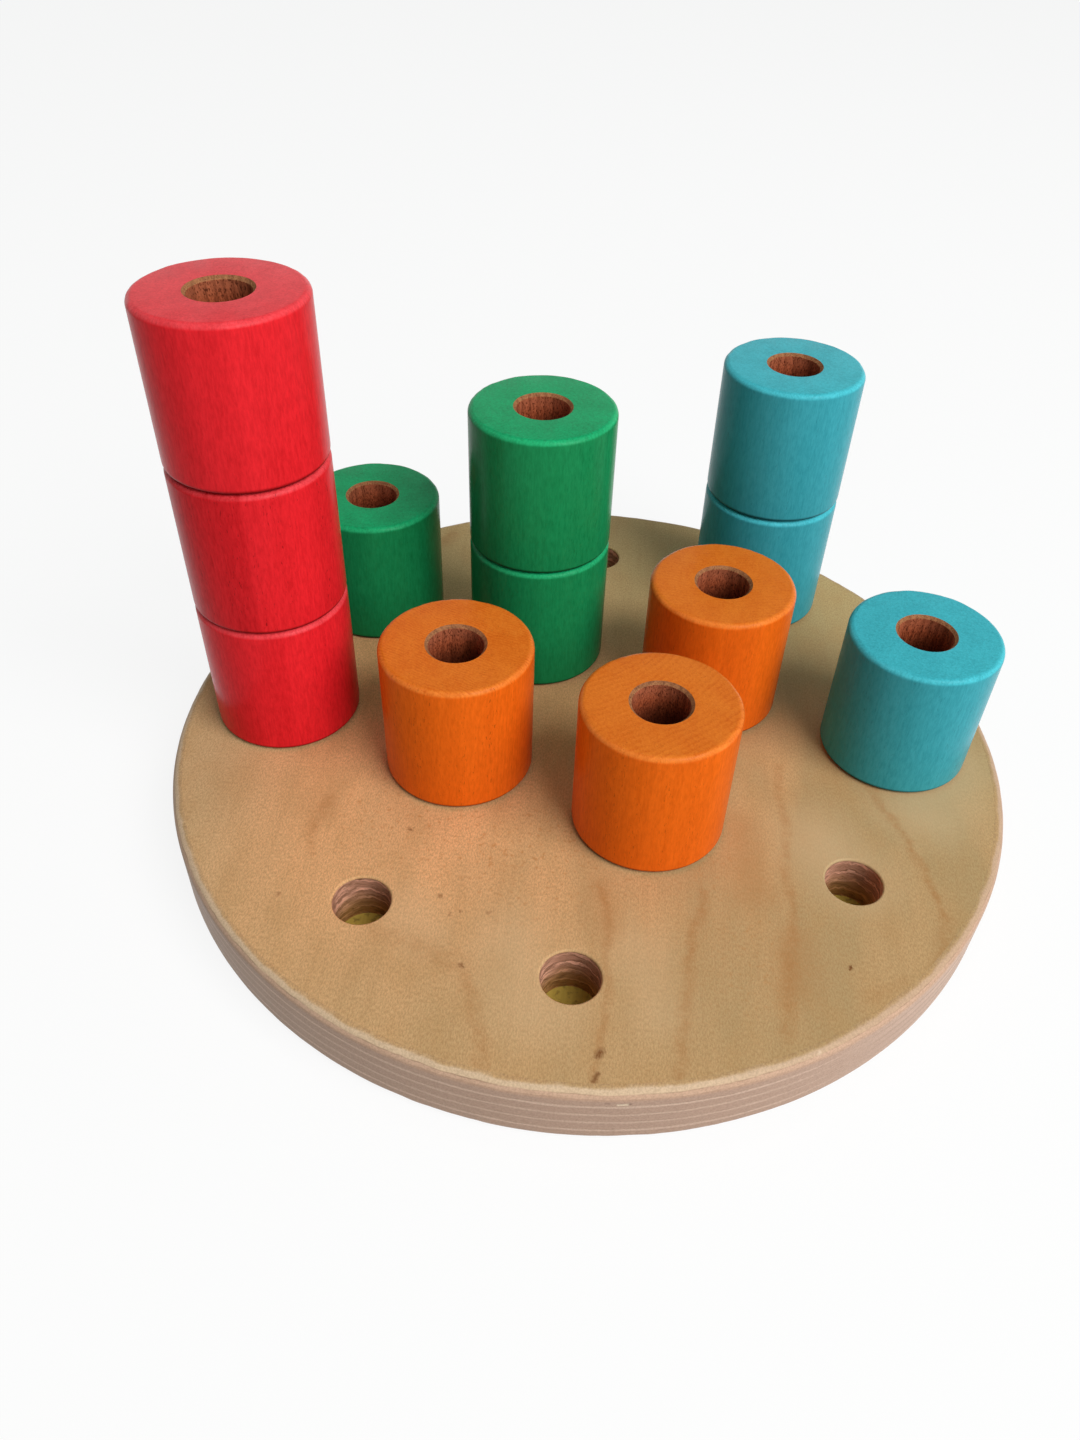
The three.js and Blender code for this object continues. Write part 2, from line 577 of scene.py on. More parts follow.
# %% Build the board's tree
def board_tree():
    given = new_shape_tree("bored_board", BOARD_INPUTS)
    top = given["Thickness"]
    floor = minus(top, given["Hole Depth"])
    edge = plus(given["Edge Rounding"], FLAT_MARGIN)
    face_radius = minus(given["Radius"], edge)
    mouth = plus(given["Hole Radius"], plus(given["Hole Ease"], FLAT_MARGIN))
    wall = turned(profile_curve([
        (mouth, top, 0.0),
        (given["Hole Radius"], top, given["Hole Ease"]),
        (given["Hole Radius"], floor, 0.0),
    ]), given["Hole Sides"])
    hole_floor = filled(circle(given["Hole Radius"], given["Hole Sides"]), floor)

    points = hole_points(given)
    mouths = on_every_hole(points, circle(mouth, given["Hole Sides"]))
    face_outline = circle(face_radius, given["Sides"])
    upper = filled(joined(face_outline, mouths), top)
    lower = flipped(filled(face_outline, 0.0))
    liners = on_every_hole(points, joined(wall, hole_floor))
    whole = joined(board_rim(given, face_radius), upper, lower, liners)
    shape = realized(shaded(welded(whole)))

    height = height_of(position())
    inside = is_less(distance_from_axis(position()), face_radius)
    half = times(top, 0.5)
    from_middle = apart(height, half)
    on_face = both(inside, is_less(minus(half, given["Hole Ease"]), from_middle))
    on_floor = is_less(apart(height, floor), WELD_DISTANCE)
    shape = finished(shape, given["Ply Edge"])
    shape = finished(shape, given["Bored Plies"], inside)
    shape = finished(shape, given["Bored Floor"], both(inside, on_floor))
    return end_group(Shape=finished(shape, given["Veneer"], on_face))


BOARD = board_tree()
print(f"The board's tree has {len(BOARD.nodes)} nodes")

# %% [markdown]
# ## Running a tree
# A tree lives on a modifier. Its inputs are set by their identifiers, the object is evaluated once, and
# the result is kept as a plain mesh with its place in the mesh and its object at the origin. The modifier
# goes away again, so what is kept is exactly what was measured here.

# %% Run a tree and keep its mesh
def grow(name, tree, sizes):
    piece = bpy.data.objects.new(name, bpy.data.meshes.new(name))
    bpy.context.scene.collection.objects.link(piece)
    modifier = piece.modifiers.new("shape", "NODES")
    modifier.node_group = tree
    for item in tree.interface.items_tree:
        if item.in_out == "INPUT":
            modifier[item.identifier] = sizes[item.name]
    depsgraph = bpy.context.evaluated_depsgraph_get()
    mesh = bpy.data.meshes.new_from_object(piece.evaluated_get(depsgraph), depsgraph=depsgraph)
    piece.modifiers.clear()
    piece.data = mesh
    mesh.name = name
    return piece


def signed_volume(mesh):
    mesh.calc_loop_triangles()
    total = 0.0
    for triangle in mesh.loop_triangles:
        a, b, c = (mesh.vertices[number].co for number in triangle.vertices)
        total += a.dot(b.cross(c)) / 6
    return total


# %% [markdown]
# ## Wood patterns
# Every finish is built from a few patterns that wood has: growth rings, long fibres, short flecks, and
# slow changes of tone. An image could hold them, but a noise that is stretched along the grain runs on
# over every edge and never repeats. Each pattern is a row of numbers: its cells per millimetre along X, Y
# and Z, its detail, its roughness, and the two values of the noise between which it comes in.

# %% Start a finish
def new_finish(name, roughness, gloss):
    finish = bpy.data.materials.new(name)
    finish.use_nodes = True
    shader = on_bench(finish.node_tree).nodes["Principled BSDF"]
    shader.inputs["Roughness"].default_value = roughness
    shader.inputs["Specular IOR Level"].default_value = gloss
    return finish, shader


def covered(shader, colour, relief, strength, depth):
    bump = made("ShaderNodeBump", {"Height": relief, "Strength": strength, "Distance": depth})
    feed(shader.inputs["Base Color"], colour)
    feed(shader.inputs["Normal"], bump)


def rgb(red, green, blue):
    return (red, green, blue, 1.0)


def blended(share, first, second):
    return add("ShaderNodeMix", {0: share, 6: first, 7: second}, data_type="RGBA").outputs[2]


def layered(wood, *coats):
    for share, colour in coats:
        wood = blended(share, wood, colour)
    return wood


# %% Patterns of wood
def attribute(name):
    return add("ShaderNodeAttribute", attribute_name=name).outputs["Vector"]


def pattern(place, scale, detail, roughness, low, high):
    return noise(vector_calc("MULTIPLY", place, scale), detail, roughness), low, high


def patterns(place, rows):
    return {name: pattern(place, *row) for name, row in rows.items()}


def ramp(found, least=0.0, most=1.0):
    return between(*found, least, most)


# %% Growth rings
RING_PATTERNS = {
    "waver": ((0.05, 0.05, 0.006), 2.0, 0.5, 0.0, 1.0),
    "ripple": ((0.30, 0.30, 0.02), 2.0, 0.5, 0.0, 1.0),
}
WAVER = 1.5
RIPPLE = 0.5
RING_DARKENS = (0.25, 0.85)
RING_ENDS = (0.88, 1.0)


def ring_distance(grain):
    found = patterns(grain, RING_PATTERNS)
    waver = ramp(found["waver"], -WAVER, WAVER)
    ripple = ramp(found["ripple"], -RIPPLE, RIPPLE)
    return plus(distance_from_axis(grain), plus(waver, ripple))


def late_wood(from_heart, ring_width):
    phase = calc("FRACT", calc("DIVIDE", from_heart, ring_width))
    return times(between(phase, *RING_DARKENS), between(phase, *RING_ENDS, 1.0, 0.0))


# %% [markdown]
# ## Painted beech
# The pegs are stained and lacquered beech. On the red and orange ones the stain is thin, and the rings,
# the long dark pore lines and the short flecks of beech show through it. The green and turquoise paint
# covers more. So one function makes all four, with the colours and how much of the grain shows as its
# arguments. The top has a colour of its own, partly because its end grain takes the stain differently
# and partly as painted light and sheen from above. The crest of the rim is paler, partly paint worn by
# hands and partly a painted highlight. A painted shade darkens the very edge of the foot, where a peg
# meets what it stands on, and faint lathe marks run round the side.

# %% How the paint lies
TOP = PEG_HEIGHT / MM
TOP_BAND = (TOP - 1.5, TOP - 0.1)
# Where the rim's crest lies, which is painted paler: partly worn paint, partly a painted highlight.
CREST_RISES = (TOP - 1.8, TOP - 0.9)
CREST_FALLS = (TOP - 0.45, TOP)
CREST_PATCHES = (0.3, 0.6, 0.45, 1.0)
# Painted shade along the very edge of the foot, where a peg meets what it stands on.
FOOT_SHADE_BAND = (0.6, 2.2)
FOOT_SHADE_SHARE = 0.95
HEART_BAND = (-1.2, 1.2)
HEART_SHARE = 0.30
FAINTEST_RINGS = 0.3
MOTTLE_SHARE = 0.6
TONE_SHARE = 0.16
# How much paler the crest is painted: partly worn paint, partly a painted highlight.
RUB_AND_HIGHLIGHT_GAIN = 1.2
RUB_AND_HIGHLIGHT_LIFT = 0.02
FLECK_AND_SHADE_LEAVES = 0.25
LATHE_MARK_HEIGHT = 0.5
FLECK_DEPTH = 0.8
PAINT_PATTERNS = {
    "fibres": ((1.6, 1.6, 0.30), 4.0, 0.7, 0.35, 0.70),
    "mottle": ((0.8, 0.8, 0.25), 3.0, 0.6, 0.35, 0.70),
    "tone": ((0.10, 0.10, 0.004), 2.0, 0.5, 0.35, 0.65),
    "faint": ((0.16, 0.16, 0.02), 2.0, 0.5, 0.35, 0.65),
    "pore lines": ((1.5, 1.5, 0.018), 2.0, 0.5, 0.56, 0.74),
    "columns": ((0.28, 0.28, 0.008), 2.0, 0.5, 0.48, 0.60),
    "flecks": ((2.6, 2.6, 0.55), 1.0, 0.5, 0.64, 0.74),
    "lathe marks": ((0.03, 0.03, 2.6), 1.0, 0.5, 0.0, 1.0),
}


# A paler copy of a colour for the rim's crest: partly worn paint, partly a painted highlight.
def rubbed_and_highlit(colour):
    return rgb(*(min(RUB_AND_HIGHLIGHT_GAIN * part + RUB_AND_HIGHLIGHT_LIFT, 1.0) for part in colour[:3]))


# The dark colour that both the flecks and the painted shade at the foot blend towards.
def fleck_and_shade_colour(colour):
    return rgb(*(FLECK_AND_SHADE_LEAVES * part for part in colour[:3]))


# %% Paint over beech
def painted_beech(name, side, top, depth, ring_show, line_show, fibre_show, fleck_show):
    finish, shader = new_finish(name, roughness=0.24, gloss=0.05)
    grain = attribute("grain")
    blank = split(attribute("blank"))
    height = height_of(attribute("from_foot"))
    found = patterns(grain, PAINT_PATTERNS)
    # The top colour blends in over the top face: partly the end grain's own tone, partly painted light and
    # sheen from above.
    on_top = between(height, *TOP_BAND)

    from_heart = ring_distance(grain)
    rings = times(late_wood(from_heart, blank["Y"]), ramp(found["faint"], FAINTEST_RINGS))
    rings = times(rings, plus(on_top, 1.0), ring_show)
    lines = times(ramp(found["pore lines"]), line_show)
    dark = plus(
        times(plus(rings, lines), blank["Z"]),
        between(minus(from_heart, blank["X"]), *HEART_BAND, HEART_SHARE, 0.0),
        ramp(found["fibres"], 0.0, fibre_show),
        ramp(found["mottle"], 0.0, MOTTLE_SHARE * fibre_show),
        ramp(found["tone"], 0.0, TONE_SHARE),
    )
    # Painted highlight with some real wear: the crest of the rim is paler in patches.
    crest = times(
        between(height, *CREST_RISES),
        between(height, *CREST_FALLS, 1.0, 0.0),
        between(found["mottle"][0], *CREST_PATCHES),
    )
    colour = blended(crest, blended(on_top, side, top), rubbed_and_highlit(top))
    stained = blended(dark, colour, depth)

    flecks = times(ramp(found["flecks"]), ramp(found["columns"]))
    spotted = times(flecks, fleck_show, blank["Z"])
    # Painted shade: the paint is darker towards the very edge of the foot.
    foot_shade = between(height, *FOOT_SHADE_BAND, FOOT_SHADE_SHARE, 0.0)
    colour = blended(calc("MAXIMUM", spotted, foot_shade), stained, fleck_and_shade_colour(depth))
    marks = times(found["lathe marks"][0], LATHE_MARK_HEIGHT)
    relief = minus(plus(found["fibres"][0], marks), times(flecks, FLECK_DEPTH))
    covered(shader, colour, relief, strength=0.35, depth=0.1 * MM)
    return finish


# %% Mix the four paints
# Each top colour differs from its side colour partly by the end grain and partly by painted light and sheen
# from above.
PAINTS = {
    "red": painted_beech(
        "red paint",
        side=rgb(0.87, 0.022, 0.031), top=rgb(0.935, 0.058, 0.072), depth=rgb(0.50, 0.006, 0.010),
        ring_show=0.10, line_show=0.17, fibre_show=0.34, fleck_show=0.8),
    "green": painted_beech(
        "green paint",
        side=rgb(0.013, 0.282, 0.094), top=rgb(0.008, 0.44, 0.165), depth=rgb(0.004, 0.15, 0.045),
        ring_show=0.03, line_show=0.08, fibre_show=0.36, fleck_show=0.2),
    "orange": painted_beech(
        "orange paint",
        side=rgb(0.92, 0.162, 0.010), top=rgb(0.815, 0.223, 0.024), depth=rgb(0.60, 0.088, 0.003),
        ring_show=0.15, line_show=0.15, fibre_show=0.34, fleck_show=0.55),
    "turquoise": painted_beech(
        "turquoise paint",
        side=rgb(0.056, 0.40, 0.48), top=rgb(0.066, 0.535, 0.62), depth=rgb(0.022, 0.26, 0.315),
        ring_show=0.03, line_show=0.08, fibre_show=0.34, fleck_show=0.3),
}
print("Paints:", ", ".join(PAINTS))

# %% [markdown]
# ## Bare beech
# Inside the sockets the drill left the wood bare: reddish brown, with rough fibres that run up the wall
# and rings that cross it in arches. Near the mouth it is paler, partly from other dowels rubbing it and
# partly as painted light where more light reaches in, and deeper down it is darker with painted shade.
# The chamfer at the mouth was sanded with the paint, so it is a paler, dirtier tan. The dowels are of the
# same wood, but smooth and clean from the mill, so they are paler still.

# %% Make the bare wood
# Paler near the mouth, partly wear and partly painted light; darker deep down, as painted shade.
RUBBED_AND_LIT_BAND = (TOP - 8.0, TOP - 1.0)
RUBBED_AND_LIT_BEECH = rgb(0.58, 0.19, 0.10)
SOCKET_SHADE_BAND = (TOP - 15.0, TOP - 4.0)
BARE_RING_WIDTH = 2.6
BARE_RING_SHARE = 0.35
PORE_SHARE = 0.7
BARE_PATTERNS = {
    "fibres": ((2.0, 2.0, 0.8), 4.0, 0.75, 0.36, 0.64),
    "pores": ((2.4, 2.4, 1.0), 1.0, 0.5, 0.54, 0.66),
}


def bare_beech(name, pale, dark, pore, rub_and_light=0.0, socket_shade=0.0):
    finish, shader = new_finish(name, roughness=0.75, gloss=0.05)
    grain = attribute("grain")
    height = height_of(attribute("from_foot"))
    found = patterns(grain, BARE_PATTERNS)
    rings = late_wood(ring_distance(grain), BARE_RING_WIDTH)
    pores = ramp(found["pores"], 0.0, PORE_SHARE)
    wood = layered(
        blended(ramp(found["fibres"]), dark, pale),
        # Paler near the mouth: partly wear, partly painted light.
        (between(height, *RUBBED_AND_LIT_BAND, 0.0, rub_and_light), RUBBED_AND_LIT_BEECH),
        (times(rings, BARE_RING_SHARE), pore),
        (pores, pore),
        # Darker deep down: painted shade.
        (between(height, *SOCKET_SHADE_BAND, socket_shade, 0.0), pore),
    )
    covered(shader, wood, minus(found["fibres"][0], pores), strength=0.5, depth=0.25 * MM)
    return finish


BORED_BEECH = bare_beech(
    "bored beech",
    pale=rgb(0.50, 0.120, 0.047), dark=rgb(0.25, 0.052, 0.019), pore=rgb(0.05, 0.007, 0.002),
    rub_and_light=0.45, socket_shade=0.7)
DOWEL_BEECH = bare_beech(
    "dowel beech",
    pale=rgb(0.60, 0.33, 0.17), dark=rgb(0.47, 0.235, 0.115), pore=rgb(0.24, 0.10, 0.045))
WORN_CHAMFER = bare_beech(
    "worn chamfer",
    pale=rgb(0.46, 0.20, 0.090), dark=rgb(0.33, 0.135, 0.055), pore=rgb(0.16, 0.06, 0.03))
print("Bare wood:", ", ".join(finish.name for finish in (BORED_BEECH, DOWEL_BEECH, WORN_CHAMFER)))

# %% [markdown]
# ## Plywood faces
# The two faces are a tan birch veneer under a satin lacquer: finely mottled, a little pinker on the left
# and warmer in the middle, with pale and brown patches, brown streaks and dark specks. Towards the right
# it is darker and greener, partly its own tone and partly painted shade against the lamp on that side, and
# at the back it is greener, partly its own tone and partly painted light that lifts the pegs' shade there.
# The patches, streaks and specks are where they are on this one sheet of veneer, so a list gives each one
# a start and an end, a width and a strength, in millimetres along and across the sheet. A small node group
# draws it: it measures how far a place lies from the line between two points.

# %% Draw a streak
def streak_tree():
    inputs = {"place": ["Place", "Start", "End"], "size": ["Width"]}
    given = new_group("streak", "ShaderNodeTree", inputs, {"size": ["Mask"]})
    reach = vector_calc("SUBTRACT", given["Place"], given["Start"])
    run = vector_calc("SUBTRACT", given["End"], given["Start"])
    share = made("ShaderNodeMath", {
        0: measured("DOT_PRODUCT", reach, run),
        1: measured("DOT_PRODUCT", run, run),
    }, operation="DIVIDE", use_clamp=True)
    distance = measured("LENGTH", vector_calc("SUBTRACT", reach, scaled(run, share)))
    return end_group(Mask=between(distance, 0.0, given["Width"], 1.0, 0.0))


STREAK = streak_tree()


def streaks(place, marks):
    strongest = 0.0
    for start, end, width, strength in marks:
        mask = made("ShaderNodeGroup",
                    {"Place": place, "Start": start, "End": end, "Width": width}, node_tree=STREAK)
        strongest = calc("MAXIMUM", strongest, times(mask, strength))
    return strongest


# %% Where the streaks lie
VENEER_STREAKS = [
    ((-59, -96, 0), (-31, -107, 0), 7.0, 0.24),
    ((-29, -110, 0), (-21, -139, 0), 4.0, 0.34),
    ((8.4, -73, 0), (11, -97, 0), 3.0, 0.40),
    ((11, -97, 0), (11, -120, 0), 2.8, 0.36),
    ((11, -120, 0), (9, -141, 0), 2.6, 0.40),
    ((39.7, -73, 0), (35, -101, 0), 3.0, 0.44),
    ((35, -101, 0), (31.3, -138, 0), 3.6, 0.36),
    ((67.3, -15, 0), (66.5, -80, 0), 2.8, 0.36),
    ((66.5, -80, 0), (62, -120, 0), 3.8, 0.40),
    ((96, -14, 0), (111, -62, 0), 2.6, 0.42),
    ((111, -62, 0), (113.4, -77, 0), 2.4, 0.50),
    ((113, -77, 0), (108, -94, 0), 5.0, 0.36),
    ((-84, -47, 0), (-85.5, -62, 0), 3.6, 0.34),
    ((-85.5, -62, 0), (-84, -71, 0), 2.4, 0.30),
    ((-69, 112, 0), (-66, 118, 0), 5.0, 0.40),
    ((86, -107, 0), (97, -101, 0), 4.0, 0.20),
]
print(f"{len(VENEER_STREAKS)} streaks")

# %% Where the patches and specks lie
PALE_PATCHES = [
    ((78, -48, 0), (86, -62, 0), 24.0, 0.42),
    ((114, -30, 0), (125, -8, 0), 28.0, 0.45),
    ((20, -95, 0), (26, -116, 0), 17.0, 0.26),
    ((-16, -98, 0), (-8, -118, 0), 24.0, 0.28),
    ((-50, -88, 0), (-44, -98, 0), 16.0, 0.20),
]
BROWN_PATCHES = [
    ((52, -46, 0), (55, -72, 0), 13.0, 0.40),
    ((67, -90, 0), (66, -104, 0), 11.0, 0.40),
    ((8, -78, 0), (9, -90, 0), 10.0, 0.35),
    ((-86, -36, 0), (-85, -52, 0), 12.0, 0.30),
]
PEPPERED = [
    ((-62, -50, 0), (-6, -66, 0), 42.0, 1.00),
    ((44, -62, 0), (58, -104, 0), 26.0, 0.50),
]
VENEER_SPECKS = [
    ((10.4, -131.6, 0), (9.9, -132.6, 0), 1.9, 0.78),
    ((9.9, -138.2, 0), (8.9, -140.4, 0), 1.4, 0.72),
    ((81.7, -97.2, 0), (81.8, -97.3, 0), 1.15, 1.00),
    ((-31.4, -107.5, 0), (-30.4, -107.9, 0), 1.2, 0.70),
    ((-54.8, -57.1, 0), (-54.2, -57.3, 0), 1.4, 0.60),
    ((-40.9, -82.9, 0), (-40.7, -83.3, 0), 1.2, 0.50),
    ((-36.9, -89.3, 0), (-36.8, -90.0, 0), 0.9, 0.45),
    ((-34.0, -88.3, 0), (-33.9, -88.5, 0), 1.0, 0.45),
    ((-25.5, -87.8, 0), (-25.2, -88.0, 0), 1.3, 0.35),
    ((-90.1, -87.2, 0), (-90.0, -87.8, 0), 1.1, 0.45),
]
print(f"{len(PALE_PATCHES + BROWN_PATCHES + PEPPERED)} patches and {len(VENEER_SPECKS)} specks")

# %% Tones of the veneer
GRAIN_ANGLE = math.radians(18)
PINK_VENEER = rgb(0.715, 0.445, 0.217)
WARM_VENEER = rgb(0.935, 0.510, 0.240)
EDGE_VENEER = rgb(0.645, 0.455, 0.240)
# The right-hand tone: partly the veneer's own, partly painted shade against the lamp on that side.
RIGHT_TONE_AND_SHADE_VENEER = rgb(0.525, 0.363, 0.176)
# The back tone: partly the veneer's own, partly painted light where the pegs shade the board.
BACK_TONE_AND_LIGHT_VENEER = rgb(0.62, 0.475, 0.222)
LEFT_TO_RIGHT = (-110.0, 120.0)
LEFT_EDGE = (-130.0, -85.0)
FRONT_TO_MIDDLE = (-130.0, -75.0)
MIDDLE_TO_BACK = (20.0, 110.0)
TONE_CHANGE = 0.8
FIGURE_SWING = 0.3
VENEER_PATTERNS = {
    "figure": ((0.035, 0.012, 0.05), 3.0, 0.5, 0.3, 0.7),
    "clouds": ((0.10, 0.06, 0.1), 3.0, 0.5, 0.4, 0.7),
    "lines": ((0.5, 0.03, 0.3), 3.0, 0.5, 0.45, 0.75),
    "fibres": ((2.2, 0.9, 1.0), 3.0, 0.75, 0.34, 0.66),
}
VENEER_SHADES = {
    "clouds": (0.30, rgb(0.57, 0.33, 0.135)),
    "lines": (0.13, rgb(0.38, 0.20, 0.08)),
    "fibres": (0.62, rgb(0.38, 0.22, 0.09)),
}


# %% Shade the veneer
def board_millimetres():
    return made("ShaderNodeMapping", {
        "Vector": add("ShaderNodeTexCoord").outputs["Object"],
        "Rotation": (0.0, 0.0, -GRAIN_ANGLE),
        "Scale": (1 / MM, 1 / MM, 1 / MM),
    })


def veneer_wood(place):
    axes = split(place)
    found = patterns(place, VENEER_PATTERNS)
    figure = ramp(found["figure"], -FIGURE_SWING, FIGURE_SWING)
    side = plus(between(axes["X"], *LEFT_TO_RIGHT), figure)
    middle = between(axes["Y"], *FRONT_TO_MIDDLE, 0.0, TONE_CHANGE)
    left = layered(
        PINK_VENEER,
        (middle, WARM_VENEER),
        (between(axes["X"], *LEFT_EDGE, TONE_CHANGE, 0.0), EDGE_VENEER),
    )
    # Towards the right, painted shade mixed with the veneer's tone; at the back, painted light mixed with
    # it.
    wood = layered(
        left,
        (side, RIGHT_TONE_AND_SHADE_VENEER),
        (between(axes["Y"], *MIDDLE_TO_BACK, 0.0, TONE_CHANGE), BACK_TONE_AND_LIGHT_VENEER),
        *((ramp(found[name], 0.0, share), shade) for name, (share, shade) in VENEER_SHADES.items()),
    )
    return wood, found["fibres"][0]


# %% Marks on the veneer
PALE_PATCH = rgb(0.72, 0.525, 0.305)
BROWN_PATCH = rgb(0.44, 0.225, 0.085)
PEPPER_BROWN = rgb(0.47, 0.195, 0.050)
STREAK_BROWN = rgb(0.40, 0.165, 0.045)
SPECK_BROWN = rgb(0.15, 0.042, 0.008)
STREAK_WANDER = (17.0, 2.5)
SPECK_WANDER = (1.6, 0.9)
PEPPER_SHARE = 0.55
FAINTEST_STREAK = 0.25
SPECK_BREAKS = (0.35, 0.6, 0.75, 1.0)
MARK_PATTERNS = {
    "pepper": ((0.50, 0.50, 0.50), 2.0, 0.5, 0.56, 0.74),
    "patchy": ((0.3, 0.3, 0.3), 4.0, 0.7, 0.3, 0.65),
}


def wandering(place, wave_length, reach):
    slow = noise(scaled(place, 1 / wave_length), detail=4.0, roughness=0.6)
    aside = between(slow, 0.0, 1.0, -reach, reach)
    return vector_calc("ADD", place, xyz(X=aside, Y=aside))


# %% Make the veneer
def birch_veneer():
    finish, shader = new_finish("birch veneer", roughness=0.42, gloss=0.08)
    place = vector_calc("MULTIPLY", board_millimetres(), (1, 1, 0))
    wood, fibres = veneer_wood(place)
    found = patterns(place, MARK_PATTERNS)
    wavering = wandering(place, *STREAK_WANDER)
    pepper = ramp(found["pepper"], 0.0, PEPPER_SHARE)
    patchy = ramp(found["patchy"], FAINTEST_STREAK)
    specks = streaks(wandering(place, *SPECK_WANDER), VENEER_SPECKS)
    wood = layered(
        wood,
        (streaks(wavering, PALE_PATCHES), PALE_PATCH),
        (streaks(wavering, BROWN_PATCHES), BROWN_PATCH),
        (times(pepper, streaks(wavering, PEPPERED)), PEPPER_BROWN),
        (times(streaks(wavering, VENEER_STREAKS), patchy), STREAK_BROWN),
        (times(specks, between(fibres, *SPECK_BREAKS)), SPECK_BROWN),
    )
    covered(shader, wood, fibres, strength=0.6, depth=0.14 * MM)
    return finish


VENEER = birch_veneer()
print(f"The veneer has {len(VENEER.node_tree.nodes)} nodes")

# %% [markdown]
# ## Plies
# The rim and the hole walls show the plies: thin pale ones between thick darker ones, alike above and
# below the middle, and a face veneer on each side. Each layer's grain runs across the one before, so one
# shows pale long grain where its neighbour shows darker end grain, and that changes places a quarter turn
# further round the rim. The inner plies were laid a little askew to the faces. The rounding was sanded
# right through the face veneer, so its worn cream border shows there, above a warmer ply; that border is
# also a painted highlight, brighter on the left. The drill tore the fibres in the holes, so the layers
# waver, and deeper down they are yellower, and darker with painted shade.

# %% Sizes of the plies
FACE_PLY = 1.15
PALE_PLY = 1.1
PLY_PAIRS = 5
PAIR = (BOARD_THICKNESS / MM - 2 * FACE_PLY - PALE_PLY) / PLY_PAIRS
PLY_ANGLE = math.radians(-10)
FACE_GRAIN = (-math.sin(PLY_ANGLE), math.cos(PLY_ANGLE), 0.0)
CROSS_GRAIN = (math.cos(PLY_ANGLE), math.sin(PLY_ANGLE), 0.0)
PLY_BLUR = 0.25
PALE_END_GRAIN = (0.75, 1.0)
THICK_END_GRAIN = (0.1, 0.7)
PLY_TONE_SHARE = 0.38
STREAKY = ((0.10, 0.10, 2.0), 4.0, 0.65, 0.35, 0.7)
STREAKY_SHARE = 0.40
GLUE_BREAKS = (0.4, 0.65)
GLUE_LINE = (0.0, 0.25, 0.45, 0.0)
print(f"{2 * PLY_PAIRS + 3} plies, a pair every {PAIR:.2f} mm")


# %% Lay the plies
def facing(direction, low, high):
    normal = add("ShaderNodeTexCoord").outputs["Normal"]
    along = calc("ABSOLUTE", measured("DOT_PRODUCT", normal, direction))
    return between(along, low, high)


def layers(place, height, long_grain, end_grain, glue):
    pair = calc("DIVIDE", minus(height, FACE_PLY), PAIR)
    within = times(calc("FRACT", pair), PAIR)
    thick = between(within, PALE_PLY - PLY_BLUR, PALE_PLY + PLY_BLUR)
    ends = made("ShaderNodeMix", {
        0: thick,
        2: facing(CROSS_GRAIN, *PALE_END_GRAIN),
        3: facing(FACE_GRAIN, *THICK_END_GRAIN),
    })
    number = plus(calc("FLOOR", pair), thick)
    tone = made("ShaderNodeTexWhiteNoise", {"W": number}, noise_dimensions="1D")
    streaky = pattern(place, *STREAKY)
    from_glue = calc("MINIMUM", within, apart(within, PALE_PLY))
    broken = between(streaky[0], *GLUE_BREAKS)
    wood = layered(
        long_grain,
        (ends, end_grain),
        (times(tone, PLY_TONE_SHARE), end_grain),
        (ramp(streaky, 0.0, STREAKY_SHARE), end_grain),
        (times(between(from_glue, *GLUE_LINE), broken), glue),
    )
    return wood, streaky[0], broken


# %% What the rim shows
TOP_GLUE = BOARD_THICKNESS / MM - FACE_PLY
BORDER_WAVER = 0.14
WARM_BAND = (TOP_GLUE - 2.2, TOP_GLUE - 0.6, 0.0, 0.4)
# The band of worn face veneer, painted bright as a highlight along the rounding.
CREAM_HIGHLIGHT_BAND = (TOP_GLUE - 0.15, TOP_GLUE + 0.15)
CREAM_HIGHLIGHT_FADES = (10.0, 100.0)
SANDED_LINE = (0.03, 0.18, 0.4, 0.0)
FACE_BAND = (TOP_GLUE + 0.75, TOP_GLUE + 1.13)
GRIT_SHARE = 0.30
RIM_PATTERNS = {
    "worn": ((0.10, 0.10, 0.10), 5.0, 0.65, 0.3, 0.7),
    "grit": ((1.6, 1.6, 1.6), 3.0, 0.7, 0.35, 0.68),
}
RIM_LONG_GRAIN = rgb(0.71, 0.50, 0.385)
RIM_END_GRAIN = rgb(0.51, 0.335, 0.25)
RIM_GLUE = rgb(0.22, 0.12, 0.08)
WARM_PLY = rgb(0.66, 0.38, 0.22)
# Cream of the worn face veneer, brighter on the left as a painted highlight.
CREAM_HIGHLIGHT_LEFT = rgb(0.74, 0.535, 0.35)
CREAM_HIGHLIGHT_RIGHT = rgb(0.60, 0.40, 0.26)
PALE_CHIP = rgb(0.85, 0.68, 0.50)
DARK_CHIP = rgb(0.14, 0.075, 0.05)
PALE_CHIPS = [
    ((15.9, -144.1, 19.5), (18.4, -143.8, 19.6), 0.8, 0.9),
    ((70.0, -125.2, 22.9), (69.4, -125.8, 22.2), 0.9, 0.8),
    ((67.0, -127.3, 22.1), (63.5, -129.1, 22.0), 0.7, 0.6),
    ((53.9, -133.3, 22.2), (49.5, -135.0, 22.0), 0.7, 0.5),
]
DARK_CHIPS = [
    ((19.0, -143.7, 19.8), (19.1, -143.7, 19.9), 0.8, 0.6),
    ((12.5, -144.5, 20.3), (13.5, -144.4, 20.3), 0.7, 0.35),
]


